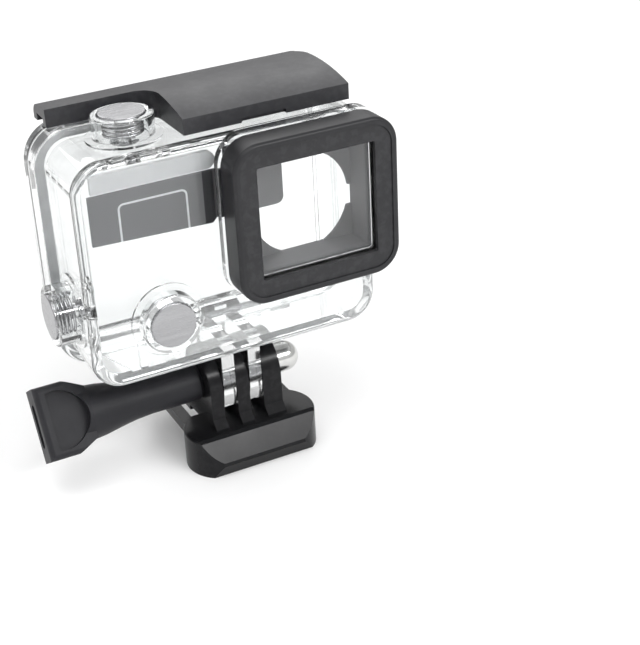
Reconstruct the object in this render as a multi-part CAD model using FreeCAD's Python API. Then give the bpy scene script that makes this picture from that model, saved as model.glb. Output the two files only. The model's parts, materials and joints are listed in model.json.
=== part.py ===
"""Clear waterproof camera housing on a quick-release buckle, as an assembly of separate parts.

Frame: millimetres, +X to the right seen from the lens side, +Y from the lens to the back door,
+Z up. The origin is the centre of the buckle's underside, straight below the clamp screw's axis.
"""
import FreeCAD, Part
import math
import os

from FreeCAD import Vector as V

X_AXIS = V(1, 0, 0)
Y_AXIS = V(0, 1, 0)
Z_AXIS = V(0, 0, 1)

# ---- fits -----------------------------------------------------------------
RUN = 0.05            # radial clearance of a pin or stem in its hole
GAP = 0.3             # free gap between bodies that move past each other
SEAT = 0.02           # gap between parts that are assembled face to face

# ---- clamp between the housing and the buckle ------------------------------
CLAMP_Z = 12.0        # height of the clamp screw's axis
CLAMP_X = -1.2        # the middle finger's centre: the thicker right finger needs the room
FINGER_PITCH = 6.3
FINGER_T = 3.0
FINGER_R = 7.4
PRONG_T = 2.9
SCREW_R = 2.5
NUT_ACROSS = 8.0
NUT_T = 4.0
NUT_POCKET_FLOOR = 4.2
THICK_FINGER_RIGHT = 8.1
NUT_END = 15.7        # the tip of the nut's dome

# ---- housing shell -----------------------------------------------------------
SHELL_LEFT = -35.5
SHELL_RIGHT = 30.0
SHELL_BOTTOM = 22.8
SHELL_TOP = 72.5
SHELL_FRONT = -12.4
FLANGE_FRONT = 4.5
FLANGE_BACK = 9.0
FLANGE_OUT = 2.1      # how far the flange and door stand out past the shell's sides
WALL = 2.4
SHELL_CORNER_R = 6.5
DOOR_FRONT = FLANGE_BACK + GAP
DOOR_RIM_BACK = 13.4
DOOR_BACK = 15.4

# ---- lens port ---------------------------------------------------------------
LENS_X = 13.0
LENS_Z = 55.0
FRAME_W = 36.8
FRAME_H = 34.7
FRAME_FRONT = -21.0
FRAME_BACK = -14.5
FRAME_R = 5.5
MASK_W = 33.9
MASK_H = 31.6
MASK_T = 1.0
MASK_RECESS = 0.3
WINDOW_W = 26.5
WINDOW_H = 24.4
GLASS_T = 2.0
GLASS_LIP = 1.9
LENS_SEAL_T = 0.6
GLASS_CORNER_R = 1.9

# ---- push buttons --------------------------------------------------------------
DISC_R = 4.9
COLLAR_R = 6.5
COLLAR_BORE_R = 5.15
STEM_R = 1.6
DISC_T = 1.0
SPRING_R = 4.0
SPRING_WIRE_R = 0.32
SPRING_TURNS = 3
STEM_OUT = 1.1        # how far a stem's tip stands inside the wall
SEAL_AT = -1.6        # the seal ring's place along the stem, from the wall's outer face

# ---- latch ---------------------------------------------------------------------
LATCH_LEFT = -33.6
LATCH_STEP = -10.6    # where the narrow arm widens to the paddle
LATCH_RIGHT = 26.4
LATCH_FRONT = -10.2
LATCH_BACK = 14.4
ARM_FRONT = 6.2
LATCH_UNDER = 74.95
CRANK_PIVOT_Y = 2.4
CRANK_PIVOT_Z = 74.7
CRANK_LENGTH = 5.0
LATCH_PIN_R = 0.9

# ---- door hinge ------------------------------------------------------------------
HINGE_Y = 12.2
HINGE_Z = 18.3
HINGE_R = 2.3
HINGE_PIN_R = 1.1
HINGE_HALF = 17.0

# ---- buckle ----------------------------------------------------------------------
PLATE_TOP = 3.4
PLATE_HALF = 12.0
BUMPER_HALF = 15.3
RAIL_HALF = 13.4
RAIL_T = 2.4
RAIL_W = 2.6
RAIL_BACK = 20.0
BUMPER_BOTTOM = -5.2
BUMPER_FRONT = -14.4
LIP_HALF = 9.8        # half the straight part of the bumper's front
FOOT_REACH = 1.7      # how far a finger's sloping foot stands out in front of it

# ---- thumb screw -----------------------------------------------------------------
KNOB_END = -46.0
KNOB_WIDE = 16.0
KNOB_THICK = 8.2
KNOB_ANGLE = 33.0
SCOOP_R = 6.4
SCOOP_DEPTH = 0.9
SCOOP_START = 2.3     # the scoops' flat side, from the knob's end
SLOT_DEPTH = 6.5
HEAD_AT = -34.9       # the screw head's outer end, buried in the neck
HEAD_T = 3.0
HEAD_R = 3.6
NECK_START = -35.0
NECK_R = 6.0
NECK_SLIM_R = 4.2
NECK_SLIM_AT = -21.0


# ============================ shape helpers ======================================

def box(x0, x1, y0, y1, z0, z1):
    return Part.makeBox(x1 - x0, y1 - y0, z1 - z0, V(x0, y0, z0))


def cyl(radius, start, end):
    axis = end.sub(start)
    return Part.makeCylinder(radius, axis.Length, start, axis)


def cone(r0, r1, start, end):
    axis = end.sub(start)
    return Part.makeCone(r0, r1, axis.Length, start, axis)


def fuse(shapes):
    first = shapes[0]
    if len(shapes) == 1:
        return first
    return first.multiFuse(shapes[1:]).removeSplitter()


def cut(body, tools):
    result = body
    for tool in tools:
        result = result.cut(tool)
    return result


def prism(points, offset):
    """A straight prism: a closed outline of points, pushed along the offset."""
    wire = Part.makePolygon(points + [points[0]])
    return Part.Face(wire).extrude(offset)


def rounded_block(x0, x1, y0, y1, z0, z1, radius):
    """A block whose four edges along Y are rounded."""
    block = box(x0, x1, y0, y1, z0, z1)
    return fillet_where(block, radius, lambda e: is_along(e, Y_AXIS))


def frame_block(width, height, y0, y1, radius):
    """A rounded block centred on the lens axis."""
    half_w = width / 2
    half_h = height / 2
    return rounded_block(LENS_X - half_w, LENS_X + half_w, y0, y1,
                         LENS_Z - half_h, LENS_Z + half_h, radius)


def is_along(edge, axis):
    if not isinstance(edge.Curve, (Part.Line, Part.LineSegment)):
        return False
    tangent = edge.tangentAt(edge.FirstParameter)
    return abs(abs(tangent.dot(axis)) - 1) < 1e-6


def fillet_where(body, radius, test):
    edges = [e for e in body.Edges if test(e)]
    return body.makeFillet(radius, edges)


def edges_at(body, axis_name, value):
    """The edges that lie wholly in one plane across an axis."""
    found = []
    for edge in body.Edges:
        bounds = edge.BoundBox
        low = getattr(bounds, axis_name + "Min")
        high = getattr(bounds, axis_name + "Max")
        if abs(low - value) < 1e-3 and abs(high - value) < 1e-3:
            found.append(edge)
    return found


def soften(body, radius, axis_name, value):
    return body.makeFillet(radius, edges_at(body, axis_name, value))


def place(shape, origin, direction):
    """Move a shape that is modelled along +Z from the origin so that it points along a direction."""
    turn = FreeCAD.Rotation(Z_AXIS, direction)
    moved = shape.copy()
    moved.Placement = FreeCAD.Placement(origin, turn).multiply(shape.Placement)
    return moved


def save(name, shape):
    if isinstance(shape, Part.Compound) and len(shape.Solids) == 1:
        shape = shape.Solids[0]
    shape.exportStep(os.path.join("parts", name + ".step"))
    print(f"{name:24s} solids {len(shape.Solids)}  volume {shape.Volume:9.1f}  valid {shape.isValid()}")


# ============================ buckle =============================================

def finger(x0, x1):
    """One clamp finger: a round end about the screw's axis on a straight root with sloping feet."""
    round_end = cyl(FINGER_R, V(x0, 0, CLAMP_Z), V(x1, 0, CLAMP_Z))
    root = box(x0, x1, -FINGER_R, FINGER_R, PLATE_TOP - 1, CLAMP_Z)
    toe = FINGER_R + FOOT_REACH
    toe_top = PLATE_TOP + 0.3
    heel = toe_top + FOOT_REACH
    foot = prism([V(x0, -toe, PLATE_TOP - 1), V(x0, -toe, toe_top), V(x0, -FINGER_R, heel),
                  V(x0, FINGER_R, heel), V(x0, toe, toe_top), V(x0, toe, PLATE_TOP - 1)],
                 V(x1 - x0, 0, 0))
    return fuse([round_end, root, foot])


def bumper_plan():
    """The bumper seen from above: a straight front between two boat-shaped ends."""
    low = BUMPER_BOTTOM - 1
    ends = []
    for side in (-1, 1):
        back = V(side * PLATE_HALF, 0, low)
        widest = V(side * BUMPER_HALF, -6.0, low)
        front = V(side * LIP_HALF, BUMPER_FRONT, low)
        ends.append((back, widest, front))
    (left_back, left_wide, left_front), (right_back, right_wide, right_front) = ends
    edges = [Part.Arc(left_back, left_wide, left_front).toShape(),
             Part.makeLine(left_front, right_front),
             Part.Arc(right_front, right_wide, right_back).toShape(),
             Part.makeLine(right_back, left_back)]
    return Part.Face(Part.Wire(edges)).extrude(V(0, 0, PLATE_TOP - BUMPER_BOTTOM + 2))


def bumper():
    """The front block that hangs below the rails, with a slanted lip."""
    side = [
        (0, PLATE_TOP),
        (-10.6, PLATE_TOP),
        (-11.4, PLATE_TOP - 0.5),
        (BUMPER_FRONT, -1.5),
        (BUMPER_FRONT, -2.4),
        (-13.2, BUMPER_BOTTOM),
        (-4.0, BUMPER_BOTTOM),
        (0, -2.0),
    ]
    block = prism([V(-BUMPER_HALF - 1, y, z) for y, z in side], V(2 * BUMPER_HALF + 2, 0, 0))
    body = block.common(bumper_plan())
    rims = [e for e in edges_at(body, "Z", PLATE_TOP) if not is_along(e, X_AXIS)]
    return body.makeFillet(0.6, rims)


def release_arm(side):
    """A springy arm behind the fingers, moulded with the plate, with its catch and squeeze pad."""
    inner = 6.0 * side
    outer = 8.4 * side
    low, high = min(inner, outer), max(inner, outer)
    arm = box(low, high, 8.0, 23.0, 0, RAIL_T)
    catch_tip = outer + 1.4 * side
    catch = prism([V(outer, 17.2, 0), V(catch_tip, 17.2, 0), V(outer, 21.5, 0)],
                  V(0, 0, RAIL_T))
    pad = box(low, high, 21.0, 23.0, 0, RAIL_T + 2.6)
    pad = fillet_where(pad, 0.9, lambda e: is_along(e, X_AXIS) and e.BoundBox.ZMin > RAIL_T)
    return fuse([arm, catch, pad])


def buckle_base():
    plate = box(-PLATE_HALF, PLATE_HALF, -4.0, 9.0, 0, PLATE_TOP)
    left_rail = box(-RAIL_HALF, -RAIL_HALF + RAIL_W, -4.0, RAIL_BACK, 0, RAIL_T)
    rails = [left_rail, left_rail.mirror(V(0, 0, 0), X_AXIS)]
    half = FINGER_T / 2
    left_finger = finger(CLAMP_X - FINGER_PITCH - half, CLAMP_X - FINGER_PITCH + half)
    middle_finger = finger(CLAMP_X - half, CLAMP_X + half)
    thick_finger = finger(CLAMP_X + FINGER_PITCH - half, THICK_FINGER_RIGHT)
    body = fuse([plate, bumper(), left_finger, middle_finger, thick_finger,
                 release_arm(-1), release_arm(1)] + rails)
    screw_way = cyl(SCREW_R + RUN, V(-20, 0, CLAMP_Z), V(20, 0, CLAMP_Z))
    nut_way = hexagon_along_x(NUT_ACROSS + 2 * SEAT, NUT_POCKET_FLOOR, THICK_FINGER_RIGHT + 1)
    hollow = box(-10.2, 10.2, -10.0, 5.0, BUMPER_BOTTOM - 1, 0)
    return cut(body, [screw_way, nut_way, hollow])


def hexagon_along_x(across, x0, x1):
    """A hexagonal bar about the clamp axis, with a corner pointing up."""
    corner = across / math.sqrt(3)
    points = []
    for i in range(6):
        angle = math.radians(60 * i)
        points.append(V(x0, corner * math.sin(angle), CLAMP_Z + corner * math.cos(angle)))
    return prism(points, V(x1 - x0, 0, 0))


def cap_nut():
    """A domed nut: its hexagon sits in the thick finger and its dome closes the screw's end."""
    start = NUT_POCKET_FLOOR + SEAT
    end = start + NUT_T
    hexagon = hexagon_along_x(NUT_ACROSS, start, end)
    dome_r = 3.5
    barrel_end = NUT_END - dome_r
    barrel = cyl(dome_r, V(end - 0.5, 0, CLAMP_Z), V(barrel_end, 0, CLAMP_Z))
    dome = Part.makeSphere(dome_r, V(barrel_end, 0, CLAMP_Z))
    bore = cyl(SCREW_R + RUN, V(start - 1, 0, CLAMP_Z), V(barrel_end + 1.0, 0, CLAMP_Z))
    return cut(fuse([hexagon, barrel, dome]), [bore])


# ============================ clamp screw ========================================

def turned(profile):
    """A solid of revolution about the clamp axis, from (x, radius) pairs."""
    points = [V(x, 0, CLAMP_Z + r) for x, r in profile]
    points += [V(profile[-1][0], 0, CLAMP_Z), V(profile[0][0], 0, CLAMP_Z)]
    wire = Part.makePolygon(points + [points[0]])
    return Part.Face(wire).revolve(V(0, 0, CLAMP_Z), X_AXIS, 360)


def thumb_knob():
    neck_end = CLAMP_X - FINGER_PITCH - FINGER_T / 2 - SEAT
    neck_profile = [
        (KNOB_END + 3.0, NECK_R - 0.6),
        (NECK_START, NECK_R),
        (NECK_START + 3.0, NECK_R - 0.3),
        (NECK_START + 6.5, NECK_R - 0.95),
        (NECK_START + 10.0, NECK_SLIM_R + 0.3),
        (NECK_SLIM_AT, NECK_SLIM_R),
        (neck_end - 0.8, NECK_SLIM_R),
        (neck_end, NECK_SLIM_R - 0.5),
    ]
    neck = turned(neck_profile)
    half = KNOB_WIDE / 2
    thick = KNOB_THICK / 2
    outline = [
        V(KNOB_END, -thick, CLAMP_Z - half),
        V(KNOB_END, -thick, CLAMP_Z + half),
        V(-39.5, -thick, CLAMP_Z + half),
        V(NECK_START, -thick, CLAMP_Z + NECK_R - 0.3),
        V(NECK_START, -thick, CLAMP_Z - NECK_R + 0.3),
        V(-39.5, -thick, CLAMP_Z - half),
    ]
    paddle = prism(outline, V(0, 2 * thick, 0))
    paddle = fillet_where(paddle, 1.2, lambda e: not is_along(e, Y_AXIS)
                          and e.BoundBox.XMax < NECK_START - 0.1)
    scoops = []
    for side in (-1, 1):
        start = KNOB_END + SCOOP_START
        floor_y = side * (thick - SCOOP_DEPTH)
        disc = cyl(SCOOP_R, V(start + 1.6, floor_y, CLAMP_Z), V(start + 1.6, floor_y + side * 5, CLAMP_Z))
        scoops.append(disc.common(box(start, start + 10, -20, 20, CLAMP_Z - half, CLAMP_Z + half)))
    body = cut(fuse([paddle, neck]), scoops)
    slot = box(KNOB_END - 1, KNOB_END + SLOT_DEPTH, -1.3, 1.3, CLAMP_Z - 4.8, CLAMP_Z + 4.8)
    slot = fillet_where(slot, 1.2, lambda e: is_along(e, X_AXIS))
    screw_way = cyl(SCREW_R + SEAT, V(HEAD_AT, 0, CLAMP_Z), V(0, 0, CLAMP_Z))
    head_way = cyl(HEAD_R + SEAT, V(HEAD_AT - SEAT, 0, CLAMP_Z), V(HEAD_AT + HEAD_T + SEAT, 0, CLAMP_Z))
    body = cut(body, [slot, screw_way, head_way])
    body.rotate(V(0, 0, CLAMP_Z), X_AXIS, -KNOB_ANGLE)
    return body


def clamp_bolt():
    """The steel screw moulded into the knob."""
    shank_end = NUT_POCKET_FLOOR + NUT_T + 1.2
    shank = cyl(SCREW_R, V(HEAD_AT + 1, 0, CLAMP_Z), V(shank_end, 0, CLAMP_Z))
    head = cyl(HEAD_R, V(HEAD_AT, 0, CLAMP_Z), V(HEAD_AT + HEAD_T, 0, CLAMP_Z))
    point = cone(SCREW_R, SCREW_R - 0.7, V(shank_end, 0, CLAMP_Z), V(shank_end + 0.7, 0, CLAMP_Z))
    return fuse([shank, head, point])


# ============================ buttons ============================================

class Button:
    """A steel push button in a clear collar. Local +Z points out of the housing."""

    def __init__(self, name, centre, outward, disc_face, pocket_floor):
        self.name = name
        self.centre = centre          # on the wall's outer face, on the button's axis
        self.outward = outward
        self.height = disc_face       # disc face above the wall
        self.floor = pocket_floor     # the spring's seat, from the wall's outer face
        self.collar_h = disc_face - 0.4

    def put(self, shape):
        return place(shape, self.centre, self.outward)

    def collar(self):
        ring = cyl(COLLAR_R, V(0, 0, -0.5), V(0, 0, self.collar_h))
        ring = soften(ring, 0.4, "Z", self.collar_h)
        base = cyl(8.0, V(0, 0, -0.5), V(0, 0, 0.5))
        return self.put(fuse([ring, base]))

    def cavities(self):
        pocket = cyl(COLLAR_BORE_R, V(0, 0, self.floor), V(0, 0, self.height + 2))
        stem_way = cyl(STEM_R + RUN, V(0, 0, -WALL - 4), V(0, 0, 1))
        notch = box(COLLAR_R - 2.4, COLLAR_R + 1, -1.6, 1.6, self.collar_h - 1.4, self.height + 1)
        return [self.put(pocket), self.put(stem_way), self.put(notch)]

    def plunger(self):
        """The disc, its skirt and the stem, with grooves for the seal and the clip."""
        face = self.height
        disc = cyl(DISC_R, V(0, 0, face - DISC_T), V(0, 0, face))
        disc = soften(disc, 0.3, "Z", face)
        hub = cyl(2.9, V(0, 0, face - DISC_T - 0.5), V(0, 0, face - DISC_T + 0.1))
        stem = cyl(STEM_R, V(0, 0, -WALL - STEM_OUT), V(0, 0, face - DISC_T))
        tip = soften(stem, 0.3, "Z", -WALL - STEM_OUT)
        body = fuse([disc, hub, tip])
        seal_groove = groove(SEAL_AT - 0.4, SEAL_AT + 0.4, STEM_R - 0.45)
        clip_groove = groove(-WALL - 0.68, -WALL - 0.18, STEM_R - 0.5)
        return self.put(cut(body, [seal_groove, clip_groove]))

    def seal(self):
        ring = Part.makeTorus(STEM_R - 0.03 - 0.21, 0.21, V(0, 0, SEAL_AT), Z_AXIS)
        return self.put(ring)

    def clip(self):
        low = -WALL - 0.65
        plate = cyl(3.0, V(0, 0, low), V(0, 0, low + 0.44))
        hole = cyl(STEM_R - 0.48, V(0, 0, low - 1), V(0, 0, low + 1))
        mouth = box(0, 5, -0.9, 0.9, low - 1, low + 1)
        return self.put(cut(plate, [hole, mouth]))

    def spring(self):
        """An open coil between the pocket floor and the disc."""
        low = self.floor + SPRING_WIRE_R + 0.04
        rise = self.height - DISC_T - SPRING_WIRE_R - 0.04 - low
        steps = 8 * SPRING_TURNS
        path = [coil_step(i, steps, low, rise) for i in range(steps)]
        start = path[0]
        section = Part.makeCircle(SPRING_WIRE_R, start.valueAt(start.FirstParameter),
                                  start.tangentAt(start.FirstParameter))
        coil = Part.Wire(path).makePipeShell([Part.Wire([section])], True, True)
        return self.put(coil)


def coil_step(index, steps, low, rise):
    """One short smooth piece of a coil's centre line."""
    points = []
    for part in range(3):
        along = (index + part / 2) / steps
        angle = 2 * math.pi * SPRING_TURNS * along
        points.append(V(SPRING_R * math.cos(angle), SPRING_R * math.sin(angle), low + rise * along))
    return Part.Edge(coil_curve(points, index, steps, rise))


def coil_curve(points, index, steps, rise):
    tangents = []
    for at in (index, index + 1):
        angle = 2 * math.pi * SPRING_TURNS * at / steps
        tangents.append(V(-SPRING_R * math.sin(angle), SPRING_R * math.cos(angle),
                          rise / (2 * math.pi * SPRING_TURNS)))
    curve = Part.BSplineCurve()
    curve.interpolate(Points=points, InitialTangent=tangents[0], FinalTangent=tangents[1])
    return curve


def groove(z0, z1, inner_r):
    """The ring that is cut away to leave a groove in a stem."""
    outside = cyl(STEM_R + 1, V(0, 0, z0), V(0, 0, z1))
    core = cyl(inner_r, V(0, 0, z0 - 1), V(0, 0, z1 + 1))
    return outside.cut(core)


BUTTONS = [
    Button("shutter", V(-20.0, -1.2, SHELL_TOP), Z_AXIS, 5.4, 0.4),
    Button("power", V(-18.7, SHELL_FRONT, 35.9), V(0, -1, 0), 3.6, -0.8),
    Button("side", V(SHELL_LEFT, -3.2, 38.5), V(-1, 0, 0), 5.6, 0.4),
]


# ============================ front shell ========================================

def shell_block(out, y0, y1, corner):
    """The shell's outline, grown outwards by a margin, between two depths."""
    return rounded_block(SHELL_LEFT - out, SHELL_RIGHT + out, y0, y1,
                         SHELL_BOTTOM - out, SHELL_TOP + out, corner)


def prong(x0, x1):
    round_end = cyl(FINGER_R, V(x0, 0, CLAMP_Z), V(x1, 0, CLAMP_Z))
    root = box(x0, x1, -FINGER_R, FINGER_R, CLAMP_Z, SHELL_BOTTOM + 1)
    return fuse([round_end, root])


def hinge_knuckle(x0, x1):
    return cyl(HINGE_R, V(x0, HINGE_Y, HINGE_Z), V(x1, HINGE_Y, HINGE_Z))


def shell_hinge_lug(x0, x1):
    web = prism([V(x0, 5.5, SHELL_BOTTOM - FLANGE_OUT + 0.5),
                 V(x0, 5.5, SHELL_BOTTOM - FLANGE_OUT - 1.0),
                 V(x0, HINGE_Y, HINGE_Z - HINGE_R),
                 V(x0, HINGE_Y, HINGE_Z + HINGE_R - 0.05),
                 V(x0, FLANGE_BACK, SHELL_BOTTOM - FLANGE_OUT - 0.1),
                 V(x0, FLANGE_BACK, SHELL_BOTTOM - FLANGE_OUT + 0.5)],
                V(x1 - x0, 0, 0))
    return fuse([web, hinge_knuckle(x0, x1)])


LUG_W = 5.0
LUG_STARTS = (-HINGE_HALF, HINGE_HALF - LUG_W)
EAR_SPANS = ((-6.0, -3.4), (19.0, 21.6))


def latch_ear(x0, x1):
    """A clear ear on the shell's top that holds the crank's pin."""
    root = box(x0, x1, CRANK_PIVOT_Y - 1.9, CRANK_PIVOT_Y + 1.9, SHELL_TOP - 0.5, CRANK_PIVOT_Z)
    top = cyl(1.9, V(x0, CRANK_PIVOT_Y, CRANK_PIVOT_Z), V(x1, CRANK_PIVOT_Y, CRANK_PIVOT_Z))
    return fuse([root, top])


def front_shell():
    case = shell_block(0, SHELL_FRONT, FLANGE_FRONT + 1, SHELL_CORNER_R)
    case = soften(case, 1.6, "Y", SHELL_FRONT)
    flange = shell_block(FLANGE_OUT, FLANGE_FRONT, FLANGE_BACK, SHELL_CORNER_R + 1.6)
    flange = soften(flange, 1.0, "Y", FLANGE_FRONT)
    port = frame_block(FRAME_W - 1.5, FRAME_H - 1.5, FRAME_FRONT + 1.35, SHELL_FRONT + 1, FRAME_R)
    port_foot = frame_block(FRAME_W + 0.6, FRAME_H + 0.6, FRAME_BACK + GAP, SHELL_FRONT + 1, FRAME_R + 0.6)
    prong_centres = (CLAMP_X - FINGER_PITCH / 2, CLAMP_X + FINGER_PITCH / 2)
    prongs = [prong(x - PRONG_T / 2, x + PRONG_T / 2) for x in prong_centres]
    lugs = [shell_hinge_lug(x, x + LUG_W) for x in LUG_STARTS]
    ears = [latch_ear(x0, x1) for x0, x1 in EAR_SPANS]
    collars = [b.collar() for b in BUTTONS]
    body = fuse([case, flange, port, port_foot] + prongs + lugs + ears + collars)

    cavity = shell_block(-WALL, SHELL_FRONT + WALL, FLANGE_BACK + 1, SHELL_CORNER_R - WALL)
    port_way = frame_block(WINDOW_W + 0.4, WINDOW_H + 0.4, FRAME_FRONT, SHELL_FRONT + WALL + 1, 0.8)
    rebate_w = WINDOW_W + 2 * GLASS_LIP + 2 * SEAT
    rebate_h = WINDOW_H + 2 * GLASS_LIP + 2 * SEAT
    rebate_floor = FRAME_FRONT + 1.35 + GLASS_T + LENS_SEAL_T
    rebate = frame_block(rebate_w, rebate_h, FRAME_FRONT, rebate_floor, 1.6)
    screw_way = cyl(SCREW_R + RUN, V(-10, 0, CLAMP_Z), V(10, 0, CLAMP_Z))
    hinge_way = cyl(HINGE_PIN_R + SEAT, V(-40, HINGE_Y, HINGE_Z), V(40, HINGE_Y, HINGE_Z))
    crank_way = cyl(LATCH_PIN_R + SEAT, V(-9, CRANK_PIVOT_Y, CRANK_PIVOT_Z),
                    V(25, CRANK_PIVOT_Y, CRANK_PIVOT_Z))
    holes = [cavity, port_way, rebate, screw_way, hinge_way, crank_way]
    for button in BUTTONS:
        holes += button.cavities()
    body = cut(body, holes)
    return fuse([body] + inner_posts())


def inner_posts():
    """The gusset and the small post in the lower left corner, inside the front wall."""
    floor = SHELL_BOTTOM + WALL
    left = SHELL_LEFT + WALL
    front = SHELL_FRONT + WALL
    gusset = prism([V(left - 0.3, front - 0.3, floor - 0.3), V(left + 6.4, front - 0.3, floor - 0.3),
                    V(left - 0.3, front - 0.3, floor + 6.0)], V(0, 1.4, 0))
    post = box(left + 8.0, left + 9.6, front - 0.3, front + 1.1, floor - 0.3, floor + 6.4)
    return [gusset, post]


# ============================ lens port parts =====================================

def lens_frame():
    """The black bezel: a rim in front of the mask and a sleeve over the port."""
    rim_back = FRAME_FRONT + MASK_RECESS + MASK_T
    outer = frame_block(FRAME_W, FRAME_H, FRAME_FRONT, FRAME_BACK, FRAME_R + 0.5)
    outer = soften(outer, 0.8, "Y", FRAME_FRONT)
    outer = soften(outer, 0.4, "Y", FRAME_BACK)
    opening = frame_block(MASK_W + 2 * SEAT, MASK_H + 2 * SEAT, FRAME_FRONT - 1, rim_back, FRAME_R - 1.0)
    sleeve = frame_block(FRAME_W - 1.5 + 2 * SEAT, FRAME_H - 1.5 + 2 * SEAT, rim_back,
                         FRAME_BACK + 1, FRAME_R)
    return cut(outer, [opening, sleeve])


def lens_mask():
    front = FRAME_FRONT + MASK_RECESS
    plate = frame_block(MASK_W, MASK_H, front, front + MASK_T, FRAME_R - 1.0)
    opening = frame_block(WINDOW_W, WINDOW_H, front - 1, front + MASK_T + 1, 0.4)
    return cut(plate, [opening])


def lens_window():
    front = FRAME_FRONT + MASK_RECESS + MASK_T + SEAT
    glass = frame_block(WINDOW_W + 2 * GLASS_LIP, WINDOW_H + 2 * GLASS_LIP, front + 0.03,
                        front + GLASS_T, GLASS_CORNER_R)
    return glass


def lens_seal():
    back = FRAME_FRONT + 1.35 + GLASS_T + LENS_SEAL_T
    ring = frame_block(WINDOW_W + 2 * GLASS_LIP, WINDOW_H + 2 * GLASS_LIP,
                       back - LENS_SEAL_T + 0.03, back - 0.01, GLASS_CORNER_R)
    opening = frame_block(WINDOW_W + 0.4, WINDOW_H + 0.4, back - 2, back + 1, 0.8)
    return cut(ring, [opening])


LINER_FRONT = SHELL_FRONT + WALL + 0.3
LINER_T = 0.7


def inner_liner():
    """A grey sheet behind the port with a round view hole, a band to the left and a port sleeve."""
    back = LINER_FRONT + LINER_T
    port_plate = box(-3.0, SHELL_RIGHT - WALL - 0.6, LINER_FRONT, back, 40.0, 69.4)
    band = prism([V(-32.0, LINER_FRONT, 65.0), V(-2.0, LINER_FRONT, 65.0), V(-2.0, LINER_FRONT, 54.6),
                  V(-5.2, LINER_FRONT, 54.6), V(-6.2, LINER_FRONT, 53.6), V(-32.0, LINER_FRONT, 54.6)],
                 V(0, LINER_T, 0))
    view_hole = cyl(11.2, V(LENS_X + 1.0, -20, LENS_Z - 1.8), V(LENS_X + 1.0, 0, LENS_Z - 1.8))
    tab = box(0.5, LENS_X - 3.0, LINER_FRONT, back, 54.2, 68.0)
    side_notch = box(LENS_X + 11.6, LENS_X + 13.4, -20, 0, 50.0, 54.6)
    plate = cut(fuse([port_plate, band]), [view_hole, side_notch])
    tab = fillet_where(tab, 1.6, lambda e: is_along(e, Y_AXIS) and e.BoundBox.XMin > LENS_X - 3.1
                       and e.BoundBox.ZMax < 56)
    room = shell_block(-WALL - 0.25, LINER_FRONT - 1, 5.0, SHELL_CORNER_R - WALL)
    return fuse([fuse([plate, tab]).common(room), port_sleeve()])


def port_sleeve():
    """The liner's thin sleeve, which follows the walls of the lens port up to the window's seal."""
    front = FRAME_FRONT + 1.35 + GLASS_T + LENS_SEAL_T + 0.2
    outer = frame_block(WINDOW_W + 0.3, WINDOW_H + 0.3, front, LINER_FRONT + LINER_T, 0.75)
    inner = frame_block(WINDOW_W - 0.7, WINDOW_H - 0.7, front - 1, LINER_FRONT + LINER_T + 1, 0.4)
    return outer.cut(inner)


def upper_rest_pad():
    """The pale soft strip that the camera's top edge bears on."""
    strip = box(-31.2, -6.6, LINER_FRONT, LINER_FRONT + 1.0, 65.4, 69.2)
    end = cyl(1.9, V(-6.6, LINER_FRONT, 67.3), V(-6.6, LINER_FRONT + 1.0, 67.3))
    return fuse([strip, end])


# ============================ back door ==========================================

KNUCKLE_W = (HINGE_HALF - LUG_W - GAP) * 2


def gasket_ring(grow, y0, y1):
    outer = shell_block(0.9 + grow, y0, y1, SHELL_CORNER_R + 0.6)
    inner = shell_block(-0.7 - grow, y0 - 1, y1 + 1, SHELL_CORNER_R - 0.9)
    return outer.cut(inner)


def back_door():
    rim = shell_block(FLANGE_OUT, DOOR_FRONT, DOOR_RIM_BACK, SHELL_CORNER_R + 1.6)
    rim = soften(rim, 1.0, "Y", DOOR_RIM_BACK)
    panel = shell_block(-1.2, DOOR_RIM_BACK - 1, DOOR_BACK, 5.6)
    panel = soften(panel, 0.9, "Y", DOOR_BACK)
    ridge = box(-30.0, 24.0, DOOR_FRONT + 0.6, DOOR_RIM_BACK - 0.9,
                SHELL_TOP, SHELL_TOP + FLANGE_OUT)
    half = KNUCKLE_W / 2
    web = prism([V(-half, HINGE_Y - 1.6, HINGE_Z), V(-half, HINGE_Y + 1.6, HINGE_Z),
                 V(-half, DOOR_RIM_BACK - 0.4, SHELL_BOTTOM - FLANGE_OUT + 1.4),
                 V(-half, DOOR_FRONT + 1.2, SHELL_BOTTOM - FLANGE_OUT + 1.4)], V(2 * half, 0, 0))
    body = fuse([rim, panel, ridge, web, hinge_knuckle(-half, half)])
    pocket = shell_block(-WALL - 0.3, DOOR_FRONT - 1, DOOR_BACK - 2.5, 3.8)
    gasket_way = gasket_ring(SEAT, DOOR_FRONT - 1, DOOR_FRONT + 1.4 + SEAT)
    pin_way = cyl(HINGE_PIN_R + RUN, V(-40, HINGE_Y, HINGE_Z), V(40, HINGE_Y, HINGE_Z))
    finger_gaps = [box(x, x + 4.0, HINGE_Y - 5, HINGE_Y + 5, HINGE_Z - 4, HINGE_Z + HINGE_R + 0.2)
                   for x in (-7.0, 3.0)]
    return cut(body, [pocket, gasket_way, pin_way] + finger_gaps)


def door_gasket():
    return gasket_ring(0, FLANGE_BACK + SEAT, DOOR_FRONT + 1.4)


def door_hinge_pin():
    return cyl(HINGE_PIN_R, V(-HINGE_HALF - 0.4, HINGE_Y, HINGE_Z), V(HINGE_HALF + 0.4, HINGE_Y, HINGE_Z))


# ============================ latch ==============================================

LEVER_PIN_Y = CRANK_PIVOT_Y - CRANK_LENGTH
LEVER_PIN_Z = CRANK_PIVOT_Z + 0.5
CRANK_SPAN = (-2.6, 18.2)


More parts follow.
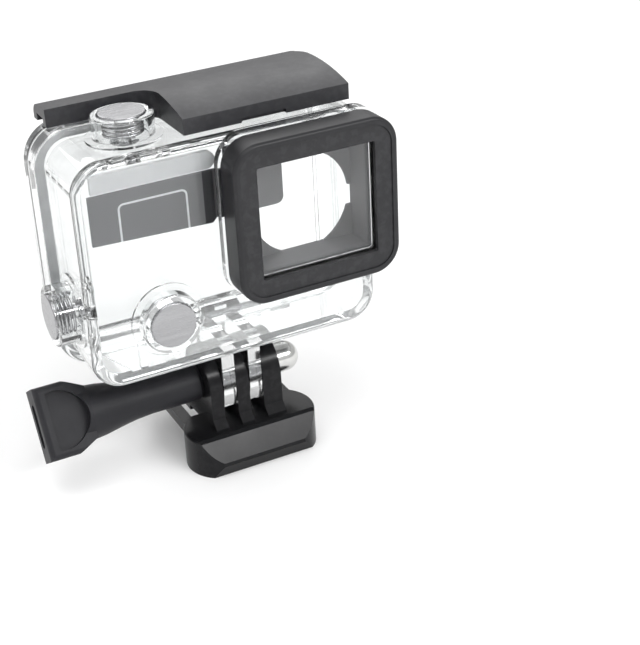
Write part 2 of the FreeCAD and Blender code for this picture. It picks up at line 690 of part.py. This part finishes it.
def lever_profile(x, front, front_bottom):
    """The lever's side outline at one X: a blunt front, a crowned top and a blunt back."""
    bottom_front = V(x, front, front_bottom)
    top_front = V(x, front, front_bottom + 3.4)
    crown = V(x, 2.0, 78.75)
    crown_back = V(x, LATCH_BACK - 3.2, 78.5)
    back_round = V(x, LATCH_BACK - 0.8, 77.7)
    back_top = V(x, LATCH_BACK, 76.3)
    back_bottom = V(x, LATCH_BACK, LATCH_UNDER)
    step_y = FLANGE_FRONT - 0.5
    edges = [Part.makeLine(bottom_front, top_front),
             Part.Arc(top_front, crown, crown_back).toShape(),
             Part.Arc(crown_back, back_round, back_top).toShape(),
             Part.makeLine(back_top, back_bottom),
             Part.makeLine(back_bottom, V(x, step_y, LATCH_UNDER)),
             Part.makeLine(V(x, step_y, LATCH_UNDER), V(x, step_y, front_bottom)),
             Part.makeLine(V(x, step_y, front_bottom), bottom_front)]
    return Part.Face(Part.Wire(Part.__sortEdges__(edges)))


def latch_lever():
    front_bottom = SHELL_TOP + 0.7
    full = lever_profile(LATCH_LEFT, LATCH_FRONT, front_bottom).extrude(V(LATCH_RIGHT - LATCH_LEFT, 0, 0))
    arm_room = box(LATCH_LEFT - 1, LATCH_STEP - 5.0, LATCH_FRONT - 5, ARM_FRONT, 70, 85)
    button_room = cyl(COLLAR_R + 1.0, V(BUTTONS[0].centre.x, BUTTONS[0].centre.y, 70),
                      V(BUTTONS[0].centre.x, BUTTONS[0].centre.y, 85))
    paddle_room = box(LATCH_STEP - 6.0, LATCH_STEP, LATCH_FRONT - 5, 2.0, 70, 85)
    corner = box(LATCH_STEP - 5.0, LATCH_STEP, 2.0, ARM_FRONT, 70, 85)
    sweep = cyl(4.6, V(LATCH_STEP - 4.6, ARM_FRONT - 4.6, 70), V(LATCH_STEP - 4.6, ARM_FRONT - 4.6, 85))
    body = cut(full, [arm_room, button_room, paddle_room, corner.common(sweep)])
    body = fillet_where(body, 7.0, lambda e: is_along(e, Z_AXIS) and e.BoundBox.XMin > LATCH_RIGHT - 0.1
                        and e.BoundBox.YMin > LATCH_BACK - 0.1)
    well = box(-8.4, 24.0, LATCH_FRONT + 2.6, 8.6, 70, 77.0)
    ribs = [box(-8.5, -6.8, -3.4, 0.6, 73.6, 77.2), box(22.4, 24.1, -3.4, 0.6, 73.6, 77.2)]
    body = fuse([cut(body, [well])] + ribs)
    pin_way = cyl(LATCH_PIN_R + SEAT, V(-9.8, LEVER_PIN_Y, LEVER_PIN_Z), V(25.2, LEVER_PIN_Y, LEVER_PIN_Z))
    finger_recess = box(2.0, 12.0, LATCH_FRONT - 1, LATCH_FRONT + 1.0, 70, front_bottom + 0.9)
    arm_slot = box(LATCH_LEFT - 1, LATCH_LEFT + 22.0, ARM_FRONT + 1.8, LATCH_BACK - 2.2,
                   70, LATCH_UNDER + 1.6)
    return cut(body, [pin_way, finger_recess, arm_slot])


def latch_lever_pin():
    return cyl(LATCH_PIN_R, V(-9.6, LEVER_PIN_Y, LEVER_PIN_Z), V(25.0, LEVER_PIN_Y, LEVER_PIN_Z))


def latch_crank():
    """The link under the lever, from the ears' pin to the lever's pin."""
    x0, x1 = CRANK_SPAN
    eye_r = 1.7
    a = V(x0, CRANK_PIVOT_Y, CRANK_PIVOT_Z)
    b = V(x0, LEVER_PIN_Y, LEVER_PIN_Z)
    across = V(x1 - x0, 0, 0)
    half_t = V(0, 0, 1.2)
    bar = prism([a.sub(half_t), a.add(half_t), b.add(half_t), b.sub(half_t)], across)
    eyes = [cyl(eye_r, p, p.add(across)) for p in (a, b)]
    ways = [cyl(LATCH_PIN_R + RUN, p.add(V(-1, 0, 0)), p.add(V(x1 - x0 + 1, 0, 0))) for p in (a, b)]
    return cut(fuse([bar] + eyes), ways)


def latch_hinge_pin():
    return cyl(LATCH_PIN_R, V(EAR_SPANS[0][0] + 0.2, CRANK_PIVOT_Y, CRANK_PIVOT_Z),
               V(EAR_SPANS[1][1] - 0.2, CRANK_PIVOT_Y, CRANK_PIVOT_Z))


# ============================ the assembly =======================================

def build():
    os.makedirs("parts", exist_ok=True)
    makers = [buckle_base, cap_nut, thumb_knob, clamp_bolt, front_shell, lens_frame, lens_mask,
              lens_window, lens_seal, inner_liner, upper_rest_pad, back_door, door_gasket,
              door_hinge_pin, latch_lever, latch_lever_pin, latch_crank, latch_hinge_pin]
    for maker in makers:
        save(maker.__name__, maker())
    for button in BUTTONS:
        save(button.name + "_button", button.plunger())
        save(button.name + "_button_spring", button.spring())
        save(button.name + "_button_seal", button.seal())
        save(button.name + "_button_clip", button.clip())


build()
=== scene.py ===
"""Looks for the clear camera housing on its quick-release buckle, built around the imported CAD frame."""
import json
import math

import bpy
from mathutils import Matrix, Vector


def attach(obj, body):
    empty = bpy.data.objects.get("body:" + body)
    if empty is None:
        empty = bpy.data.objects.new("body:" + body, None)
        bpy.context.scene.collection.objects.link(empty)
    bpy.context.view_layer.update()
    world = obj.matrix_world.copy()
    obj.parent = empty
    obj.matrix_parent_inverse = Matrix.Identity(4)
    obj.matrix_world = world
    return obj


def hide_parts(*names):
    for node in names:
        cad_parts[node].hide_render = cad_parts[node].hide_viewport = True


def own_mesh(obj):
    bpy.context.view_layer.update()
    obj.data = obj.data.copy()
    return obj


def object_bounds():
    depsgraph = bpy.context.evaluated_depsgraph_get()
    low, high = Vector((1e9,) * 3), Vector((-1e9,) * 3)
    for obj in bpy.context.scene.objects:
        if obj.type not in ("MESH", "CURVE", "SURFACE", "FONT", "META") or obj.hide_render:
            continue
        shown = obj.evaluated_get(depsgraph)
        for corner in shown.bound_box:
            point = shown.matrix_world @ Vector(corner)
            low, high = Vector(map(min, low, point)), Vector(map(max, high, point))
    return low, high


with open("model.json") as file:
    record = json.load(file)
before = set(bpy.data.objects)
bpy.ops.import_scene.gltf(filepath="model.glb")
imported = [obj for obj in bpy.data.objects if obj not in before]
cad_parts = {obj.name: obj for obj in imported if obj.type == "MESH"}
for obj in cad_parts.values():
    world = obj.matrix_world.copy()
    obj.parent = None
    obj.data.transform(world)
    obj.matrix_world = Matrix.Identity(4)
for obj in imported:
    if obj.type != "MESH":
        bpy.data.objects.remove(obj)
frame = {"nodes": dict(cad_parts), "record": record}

CAD_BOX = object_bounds()
MM = 0.001


# ============================ node helpers =======================================

class Look:
    """A node material built from small named steps, on object coordinates in millimetres."""

    def __init__(self, name):
        self.material = bpy.data.materials.new(name)
        self.material.use_nodes = True
        self.tree = self.material.node_tree
        self.shader = self.tree.nodes["Principled BSDF"]
        coords = self.add("ShaderNodeTexCoord")
        scale = self.add("ShaderNodeVectorMath", operation="SCALE")
        scale.inputs["Scale"].default_value = 1 / MM
        self.link(coords.outputs["Object"], scale.inputs[0])
        self.mm = scale.outputs[0]

    def add(self, kind, **settings):
        node = self.tree.nodes.new(kind)
        for key, value in settings.items():
            setattr(node, key, value)
        return node

    def link(self, source, target):
        self.tree.links.new(source, target)

    def set(self, **values):
        for key, value in values.items():
            self.shader.inputs[key.replace("_", " ")].default_value = value
        return self

    def noise(self, per_mm, detail=3.0, rough=0.55, stretch=(1, 1, 1)):
        """A noise pattern with about that many blobs in each millimetre."""
        mapping = self.add("ShaderNodeMapping")
        mapping.inputs["Scale"].default_value = stretch
        texture = self.add("ShaderNodeTexNoise")
        texture.inputs["Scale"].default_value = per_mm
        texture.inputs["Detail"].default_value = detail
        texture.inputs["Roughness"].default_value = rough
        self.link(self.mm, mapping.inputs["Vector"])
        self.link(mapping.outputs[0], texture.inputs["Vector"])
        return texture.outputs["Fac"]

    def spread(self, value, low, high, low_at=0.3, high_at=0.7):
        """Maps a pattern onto a range of numbers."""
        node = self.add("ShaderNodeMapRange")
        node.inputs["From Min"].default_value = low_at
        node.inputs["From Max"].default_value = high_at
        node.inputs["To Min"].default_value = low
        node.inputs["To Max"].default_value = high
        self.link(value, node.inputs["Value"])
        return node.outputs["Result"]

    def between(self, value, dark, light):
        """Maps a pattern onto a run between two colours."""
        node = self.add("ShaderNodeMix", data_type="RGBA")
        node.inputs["A"].default_value = (*dark, 1)
        node.inputs["B"].default_value = (*light, 1)
        self.link(value, node.inputs["Factor"])
        return node.outputs["Result"]

    def number(self, kind, a, b=0.0):
        """The result of one sum on plain numbers or outputs."""
        node = self.add("ShaderNodeMath", operation=kind)
        for socket, value in zip(node.inputs, (a, b)):
            if isinstance(value, (int, float)):
                socket.default_value = value
            else:
                self.link(value, socket)
        return node.outputs[0]

    def paint(self, tone, mask, paint):
        """Lays a flat colour over a tone where the mask is 1."""
        layer = self.add("ShaderNodeMix", data_type="RGBA")
        layer.inputs["B"].default_value = (*paint, 1)
        self.link(mask, layer.inputs["Factor"])
        self.link(tone, layer.inputs["A"])
        return layer.outputs["Result"]

    def color(self, output):
        self.link(output, self.shader.inputs["Base Color"])
        return self

    def rough(self, output):
        self.link(output, self.shader.inputs["Roughness"])
        return self

    def bump(self, height, strength, depth_mm=0.05):
        node = self.add("ShaderNodeBump")
        node.inputs["Strength"].default_value = strength
        node.inputs["Distance"].default_value = depth_mm * MM
        self.link(height, node.inputs["Height"])
        self.link(node.outputs[0], self.shader.inputs["Normal"])
        return self


WORN_GAIN = 1.8          # how much paler a worn edge is than the plastic beside it
WORN_LIFT = 0.01


def wear_mask(look, spread=0.6):
    """Bright where an edge stands out, broken up by noise."""
    geometry = look.add("ShaderNodeNewGeometry")
    edge = look.spread(geometry.outputs["Pointiness"], 0.0, 1.0, 0.52, 0.60)
    patchy = look.spread(look.noise(0.7, 4.0), 0.0, 1.0, 0.45, 0.62)
    return look.number("MULTIPLY", look.number("MULTIPLY", edge, patchy), spread)


def moulded(name, dark, light, rough, shine=0.5, grain=0.2, wear=0.25):
    """Moulded plastic: a fine grain, a slightly uneven colour and paler worn edges."""
    look = Look(name)
    tone = look.between(look.spread(look.noise(0.05, 3.0), 0.0, 1.0), dark, light)
    pale = tuple(min(1.0, c * WORN_GAIN + WORN_LIFT) for c in light)
    look.color(look.paint(tone, wear_mask(look, wear), pale))
    look.set(Specular_IOR_Level=shine)
    look.rough(look.spread(look.noise(0.15, 4.0), rough[0], rough[1]))
    look.bump(look.noise(7.0, 2.0), grain, 0.01)
    return look


def clear_plastic(name, tint, rough, ripple):
    look = Look(name)
    look.set(Transmission_Weight=1.0, IOR=1.46)
    look.color(look.between(look.noise(0.05, 2.0), tuple(c * 0.99 for c in tint), tint))
    look.rough(look.spread(look.noise(0.12, 5.0), rough[0], rough[1]))
    look.bump(look.noise(0.16, 2.0), ripple, 0.05)
    return look


def metal(name, dark, light, rough, brushed=(1, 1, 1)):
    look = Look(name)
    look.set(Metallic=1.0)
    look.color(look.between(look.spread(look.noise(0.35, 4.0, stretch=brushed), 0.0, 1.0), dark, light))
    look.rough(look.spread(look.noise(1.2, 4.0, stretch=brushed), rough[0], rough[1]))
    look.bump(look.noise(8.0, 2.0, stretch=brushed), 0.1, 0.006)
    return look


def soft_rubber(name, dark, light, rough):
    look = Look(name)
    look.color(look.between(look.spread(look.noise(0.3, 3.0), 0.0, 1.0), dark, light))
    look.rough(look.spread(look.noise(1.5, 3.0), rough[0], rough[1]))
    look.bump(look.noise(4.0, 2.0), 0.2, 0.02)
    return look


OUTLINE_CENTRE = (-18.65, 52.2)     # x and z of the outlined panel on the liner's band
OUTLINE_HALF = (7.25, 10.0)
OUTLINE_CORNER = 1.1
OUTLINE_WIDTH = 0.22
STRIP_CENTRE = -6.6
STRIP_HALF = 1.15
OUTLINE_WHITE = (0.85, 0.86, 0.88)
STRIP_BLACK = (0.035, 0.035, 0.04)


def rounded_outline(look, x, z):
    """Is 1 on a thin line along a rounded rectangle and 0 elsewhere."""
    reach = []
    for value, centre, half in zip((x, z), OUTLINE_CENTRE, OUTLINE_HALF):
        offset = look.number("ABSOLUTE", look.number("SUBTRACT", value, centre))
        reach.append(look.number("SUBTRACT", offset, half - OUTLINE_CORNER))
    squares = [look.number("POWER", look.number("MAXIMUM", r, 0.0), 2.0) for r in reach]
    corner = look.number("SQRT", look.number("ADD", squares[0], squares[1]))
    inside = look.number("MINIMUM", look.number("MAXIMUM", reach[0], reach[1]), 0.0)
    distance = look.number("SUBTRACT", look.number("ADD", corner, inside), OUTLINE_CORNER)
    return look.number("LESS_THAN", look.number("ABSOLUTE", distance), OUTLINE_WIDTH)


def liner_sheet():
    """The grey sheet, with a pale outlined panel and a near-black strip on its band."""
    look = Look("liner_mid_grey")
    tone = look.between(look.spread(look.noise(0.06, 3.0), 0.0, 1.0),
                        (0.150, 0.150, 0.160), (0.168, 0.168, 0.178))
    parts = look.add("ShaderNodeSeparateXYZ")
    look.link(look.mm, parts.inputs[0])
    x, z = parts.outputs["X"], parts.outputs["Z"]
    off_strip = look.number("ABSOLUTE", look.number("SUBTRACT", x, STRIP_CENTRE))
    tone = look.paint(tone, look.number("LESS_THAN", off_strip, STRIP_HALF), STRIP_BLACK)
    tone = look.paint(tone, rounded_outline(look, x, z), OUTLINE_WHITE)
    look.color(tone)
    look.rough(look.spread(look.noise(0.5, 3.0), 0.45, 0.55))
    look.bump(look.noise(3.0, 2.0), 0.1, 0.01)
    return look


def grey(level, blue=0.0):
    """A neutral colour, a little bluer if asked."""
    return (level, level, level + blue)


LOOKS = {
    "clear_shell": clear_plastic("clear_polycarbonate", (0.945, 0.955, 0.955), (0.02, 0.06), 0.08),
    "lens_glass": clear_plastic("lens_glass_clear", (0.985, 0.99, 0.99), (0.0, 0.01), 0.01),
    "buckle_black": moulded("buckle_gloss_black", grey(0.008, 0.001), grey(0.010, 0.001),
                            (0.20, 0.26), 0.16, 0.05),
    "knob_black": moulded("knob_matte_black", grey(0.015, 0.003), grey(0.018, 0.003),
                          (0.46, 0.54), 0.25),
    "latch_black": moulded("latch_satin_black", grey(0.018, 0.003), grey(0.023, 0.003),
                           (0.36, 0.44), 0.4),
    "frame_black": moulded("frame_satin_black", grey(0.014, 0.002), grey(0.018, 0.002),
                           (0.38, 0.45), 0.3),
    "mask_grey": moulded("mask_dark_grey", grey(0.022, 0.002), grey(0.026, 0.002),
                         (0.52, 0.60), 0.25),
    "liner_grey": liner_sheet(),
    "button_steel": metal("button_satin_steel", grey(0.34, 0.01), grey(0.40, 0.01),
                          (0.22, 0.30), (0.2, 1, 3)),
    "spring_steel": metal("spring_bright_steel", grey(0.42, 0.01), grey(0.52, 0.01), (0.12, 0.2)),
    "bolt_steel": metal("bolt_zinc_steel", grey(0.32, 0.01), grey(0.42, 0.01), (0.25, 0.35)),
    "pin_steel": metal("pin_ground_steel", grey(0.45, 0.01), grey(0.52, 0.01), (0.18, 0.28)),
    "nut_nickel": metal("nut_nickel_plate", grey(0.60, -0.01), grey(0.68, -0.01), (0.16, 0.24)),
    "dark_rubber": soft_rubber("seal_black_rubber", grey(0.02), grey(0.03), (0.6, 0.75)),
    "pale_rubber": soft_rubber("gasket_white_silicone", (0.74, 0.75, 0.76), (0.80, 0.81, 0.82),
                               (0.45, 0.6)),
}


def dress_nodes():
    """Gives every CAD node the material of its record slot."""
    for part in frame["record"]["subparts"]:
        mesh = frame["nodes"][part["node"]].data
        mesh.materials.clear()
        mesh.materials.append(LOOKS[part["material_slot"]].material)


# ============================ springs ============================================

COIL_R = 4.0
WIRE_R = 0.31
COIL_TURNS = 4
STEPS_A_TURN = 40
WIRE_SIDES = 10
COIL_SPARE = 0.05        # free room at each end of a coil


def coil_mesh(name, base, outward, length):
    """A wound wire with closed ends, from a seat point outwards, in metres."""
    turn = Vector((0, 0, 1)).rotation_difference(outward).to_matrix()
    low = WIRE_R + COIL_SPARE
    rise = length - 2 * low
    count = COIL_TURNS * STEPS_A_TURN
    slope = rise / (2 * math.pi * COIL_R * COIL_TURNS)
    verts = []
    for i in range(count + 1):
        angle = 2 * math.pi * COIL_TURNS * i / count
        out = Vector((math.cos(angle), math.sin(angle), 0))
        ahead = Vector((-math.sin(angle), math.cos(angle), slope)).normalized()
        up = ahead.cross(out)
        centre = out * COIL_R + Vector((0, 0, low + rise * i / count))
        for k in range(WIRE_SIDES):
            around = 2 * math.pi * k / WIRE_SIDES
            point = centre + out * (WIRE_R * math.cos(around)) + up * (WIRE_R * math.sin(around))
            verts.append((base + turn @ point) * MM)
    faces = []
    for i in range(count):
        for k in range(WIRE_SIDES):
            a = i * WIRE_SIDES + k
            b = i * WIRE_SIDES + (k + 1) % WIRE_SIDES
            faces.append((a, a + WIRE_SIDES, b + WIRE_SIDES, b))
    last = count * WIRE_SIDES
    faces.append(tuple(range(WIRE_SIDES)))
    faces.append(tuple(last + k for k in reversed(range(WIRE_SIDES))))
    mesh = bpy.data.meshes.new(name)
    mesh.from_pydata(verts, [], faces)
    mesh.shade_smooth()
    return mesh


def wind_spring(button, base, outward, length):
    """A return spring for a button, wound once at its free length and hung on the housing in place of the
    CAD spring.
    """
    base, outward = Vector(base), Vector(outward)
    name = button + "_return_coil"
    coil = bpy.data.objects.new(name, coil_mesh(name, base, outward, length))
    coil.data.materials.append(LOOKS["spring_steel"].material)
    bpy.context.scene.collection.objects.link(coil)
    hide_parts(button + "_button_spring")
    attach(coil, "housing")
    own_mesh(coil)


def wind_springs():
    """Each coil: its button, its seat in millimetres, the way it points and its free length."""
    wind_spring("shutter", (-20.0, -1.2, 72.9), (0, 0, 1), 4.0)
    wind_spring("power", (-18.7, -11.6, 35.9), (0, -1, 0), 3.4)
    wind_spring("side", (-35.9, -3.2, 38.5), (-1, 0, 0), 4.2)


# ============================ studio =============================================

FLOOR_HALF = 3.0
WORLD_STRENGTH = 0.66
BODY_CENTRE = (0, 0, 0.04)
LIP_CENTRE = (0, -0.013, 0.001)


def floor():
    """A flat pale square under the object, at its lowest point."""
    low = CAD_BOX[0][2]
    mesh = bpy.data.meshes.new("floor")
    half = FLOOR_HALF
    corners = [(-half, -half, low), (half, -half, low), (half, half, low), (-half, half, low)]
    mesh.from_pydata(corners, [], [(0, 1, 2, 3)])
    piece = bpy.data.objects.new("floor", mesh)
    bpy.context.scene.collection.objects.link(piece)
    look = Look("pale_floor")
    look.color(look.between(look.noise(0.02, 2.0), grey(0.93), grey(0.95)))
    look.set(Roughness=0.8)
    mesh.materials.append(look.material)


def area_light(name, place, target, size, power):
    data = bpy.data.lights.new(name, "AREA")
    data.shape = "RECTANGLE"
    data.size, data.size_y = size
    data.energy = power
    lamp = bpy.data.objects.new(name, data)
    lamp.location = place
    lamp.rotation_euler = (Vector(target) - Vector(place)).to_track_quat("-Z", "Y").to_euler()
    bpy.context.scene.collection.objects.link(lamp)


def studio():
    world = bpy.data.worlds.new("studio")
    world.use_nodes = True
    world.node_tree.nodes["Background"].inputs["Color"].default_value = (1, 1, 1, 1)
    world.node_tree.nodes["Background"].inputs["Strength"].default_value = WORLD_STRENGTH
    bpy.context.scene.world = world
    area_light("key_light", (-0.15, -0.20, 0.60), BODY_CENTRE, (0.4, 0.3), 1.4)
    area_light("back_light", (0.10, 0.50, 0.45), BODY_CENTRE, (0.7, 0.3), 1.4)
    area_light("lip_light", (0.17, -0.38, 0.29), LIP_CENTRE, (0.30, 0.06), 1.2)
    area_light("side_fill", (-0.55, -0.10, 0.12), BODY_CENTRE, (0.3, 0.3), 0.3)


EYE = (-0.10038, -0.24494, 0.16347)
FORWARD = (0.34172, 0.84020, -0.42106)
ROLL_DEG = -4.90
LENS_MM = 75.49
LENS_SHIFT = (0.1533, -0.1048)


def camera():
    """The fitted viewpoint, as a place in metres, a forward direction, a roll and a shifted long lens."""
    data = bpy.data.cameras.new("photo_camera")
    data.lens = LENS_MM
    data.shift_x, data.shift_y = LENS_SHIFT
    data.clip_start = 0.01
    forward = Vector(FORWARD)
    roll = math.radians(ROLL_DEG)
    level = forward.cross(Vector((0, 0, 1))).normalized()
    upright = level.cross(forward)
    right = level * math.cos(roll) + upright * math.sin(roll)
    up = -level * math.sin(roll) + upright * math.cos(roll)
    turn = Matrix((right, up, -forward)).transposed().to_4x4()
    piece = bpy.data.objects.new("photo_camera", data)
    piece.matrix_world = Matrix.Translation(Vector(EYE)) @ turn
    bpy.context.scene.collection.objects.link(piece)
    bpy.context.scene.camera = piece


CLEAR_BOUNCES = 40       # light crosses many clear walls, and would turn black if it stopped early
GLOSSY_BOUNCES = 12


def light_paths():
    scene = bpy.context.scene
    scene.view_settings.view_transform = "Standard"
    scene.cycles.max_bounces = CLEAR_BOUNCES
    scene.cycles.transmission_bounces = CLEAR_BOUNCES
    scene.cycles.glossy_bounces = GLOSSY_BOUNCES


dress_nodes()
wind_springs()
floor()
studio()
camera()
light_paths()
